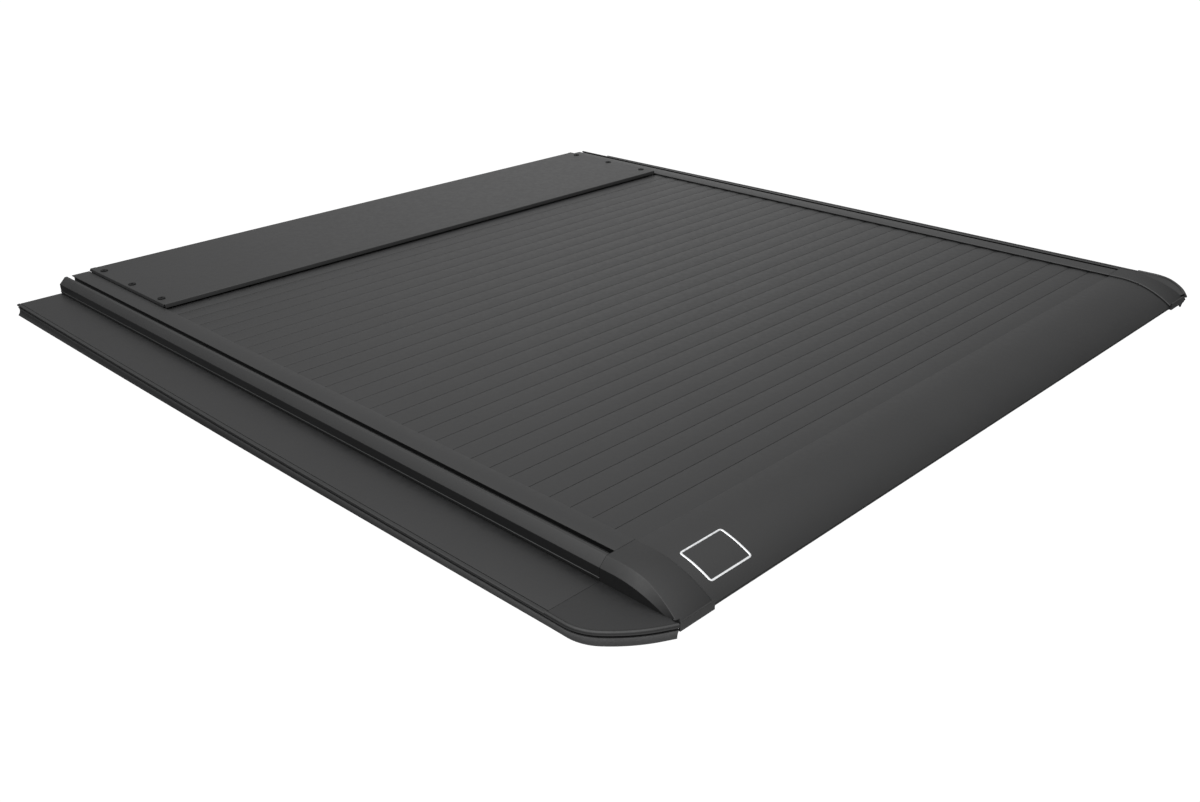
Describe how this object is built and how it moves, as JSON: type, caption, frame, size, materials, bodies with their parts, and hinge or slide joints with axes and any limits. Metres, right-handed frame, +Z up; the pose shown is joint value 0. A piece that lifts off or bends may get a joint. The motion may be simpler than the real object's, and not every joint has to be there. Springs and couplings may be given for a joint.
{
  "type": "tonneau cover",
  "caption": "Retractable hard tonneau cover: interlocking slats slide in two T-slot rails towards a front canister with a spring drum.",
  "frame": {"origin": "middle of the header angle's underside, where the cover rests on the bed's bulkhead, on the plane of the truck's bed rails", "axes": "+X to the truck's right, +Y forward to the cab, +Z up"},
  "size_m": [1.683, 1.697, 0.1998],
  "materials": {
    "rail": "satin black powder coat",
    "slat": "satin black powder coat",
    "rear_panel": "satin black powder coat",
    "lid": "satin black powder coat",
    "lid_screw": "black oxide",
    "lid_bar": "mill finish",
    "canister": "satin black powder coat",
    "header": "satin black powder coat",
    "flange": "fine moulded grain",
    "corner_cap": "fine moulded grain",
    "skirt": "matt",
    "seal": "matt",
    "drum": "anodised",
    "bush": "natural nylon",
    "axle": "drawn",
    "spring": "oiled wire",
    "strap": "woven polyester web",
    "drain": "moulded",
    "bed_clamp": "cast, tumbled",
    "clamp_bolt": "zinc plated",
    "lock": "moulded",
    "latch_rod": "drawn"
  },
  "bodies": {
    "frame": {"bulkhead_seal": "seal", "canister_lid": "lid", "canister_tray": "canister", "drum_axle": "axle", "front_left_bed_clamp": "bed_clamp", "front_left_clamp_bolt": "clamp_bolt", "front_right_bed_clamp": "bed_clamp", "front_right_clamp_bolt": "clamp_bolt", "header_angle": "header", "left_canister_end": "canister", "left_corner_cap": "corner_cap", "left_drain_spout": "drain", "left_edge_skirt": "skirt", "left_front_lid_screw": "lid_screw", "left_lid_bar": "lid_bar", "left_middle_lid_screw": "lid_screw", "left_rail": "rail", "left_rear_lid_screw": "lid_screw", "left_side_flange": "flange", "rear_left_bed_clamp": "bed_clamp", "rear_left_clamp_bolt": "clamp_bolt", "rear_right_bed_clamp": "bed_clamp", "rear_right_clamp_bolt": "clamp_bolt", "right_canister_end": "canister", "right_corner_cap": "corner_cap", "right_drain_spout": "drain", "right_edge_skirt": "skirt", "right_front_lid_screw": "lid_screw", "right_lid_bar": "lid_bar", "right_middle_lid_screw": "lid_screw", "right_rail": "rail", "right_rear_lid_screw": "lid_screw", "right_side_flange": "flange", "torsion_spring": "spring"},
    "curtain": {"leader_strap": "strap", "lock_housing": "lock", "rear_panel": "rear_panel", "rear_seal": "seal", "slat_pair_01": "slat", "slat_pair_02": "slat", "slat_pair_03": "slat", "slat_pair_04": "slat", "slat_pair_05": "slat", "slat_pair_06": "slat", "slat_pair_07": "slat", "slat_pair_08": "slat", "slat_pair_09": "slat", "slat_pair_10": "slat", "slat_pair_11": "slat", "slat_pair_12": "slat", "slat_pair_13": "slat", "slat_pair_14": "slat", "slat_pair_15": "slat"},
    "leader": {"leader_slat": "slat"},
    "drum": {"drum_tube": "drum", "left_drum_bush": "bush", "right_drum_bush": "bush"},
    "paddle": {"release_paddle": "lock"},
    "latch_left": {"left_latch_rod": "latch_rod"},
    "latch_right": {"right_latch_rod": "latch_rod"}
  },
  "joints": [
    {"name": "curtain_slide", "type": "slide", "parent": "frame", "child": "curtain", "axis": [0, 1, 0], "range_m": [0, 0.18], "deforming": ["leader_strap"]},
    {"name": "drum_spin", "type": "hinge", "parent": "frame", "child": "drum", "pos_m": [0, -0.109, -0.059], "axis": [-1, 0, 0], "range_deg": [0, 312], "deforming": ["torsion_spring"]},
    {"name": "leader_hinge", "type": "hinge", "parent": "curtain", "child": "leader", "pos_m": [0, -0.3352, 0.0244], "axis": [-1, 0, 0], "range_deg": [0, 31]},
    {"name": "paddle_pivot", "type": "hinge", "parent": "curtain", "child": "paddle", "pos_m": [0, -1.578, -0.006], "axis": [-1, 0, 0], "range_deg": [0, 25.2], "stiffness_Nm_per_rad": 1.5, "springref_deg": -20.05},
    {"name": "left_latch_slide", "type": "slide", "parent": "curtain", "child": "latch_left", "axis": [1, 0, 0], "range_m": [0, 0.012]},
    {"name": "right_latch_slide", "type": "slide", "parent": "curtain", "child": "latch_right", "axis": [-1, 0, 0], "range_m": [0, 0.0125]}
  ],
  "couplings": [
    {"joint": "drum_spin", "follows": "curtain_slide", "rad_per_m": 30},
    {"joint": "leader_hinge", "follows": "curtain_slide", "rad_per_m": 2.9},
    {"joint": "right_latch_slide", "follows": "left_latch_slide", "ratio": 1},
    {"joint": "paddle_pivot", "follows": "left_latch_slide", "rad_per_m": 36.36}
  ]
}
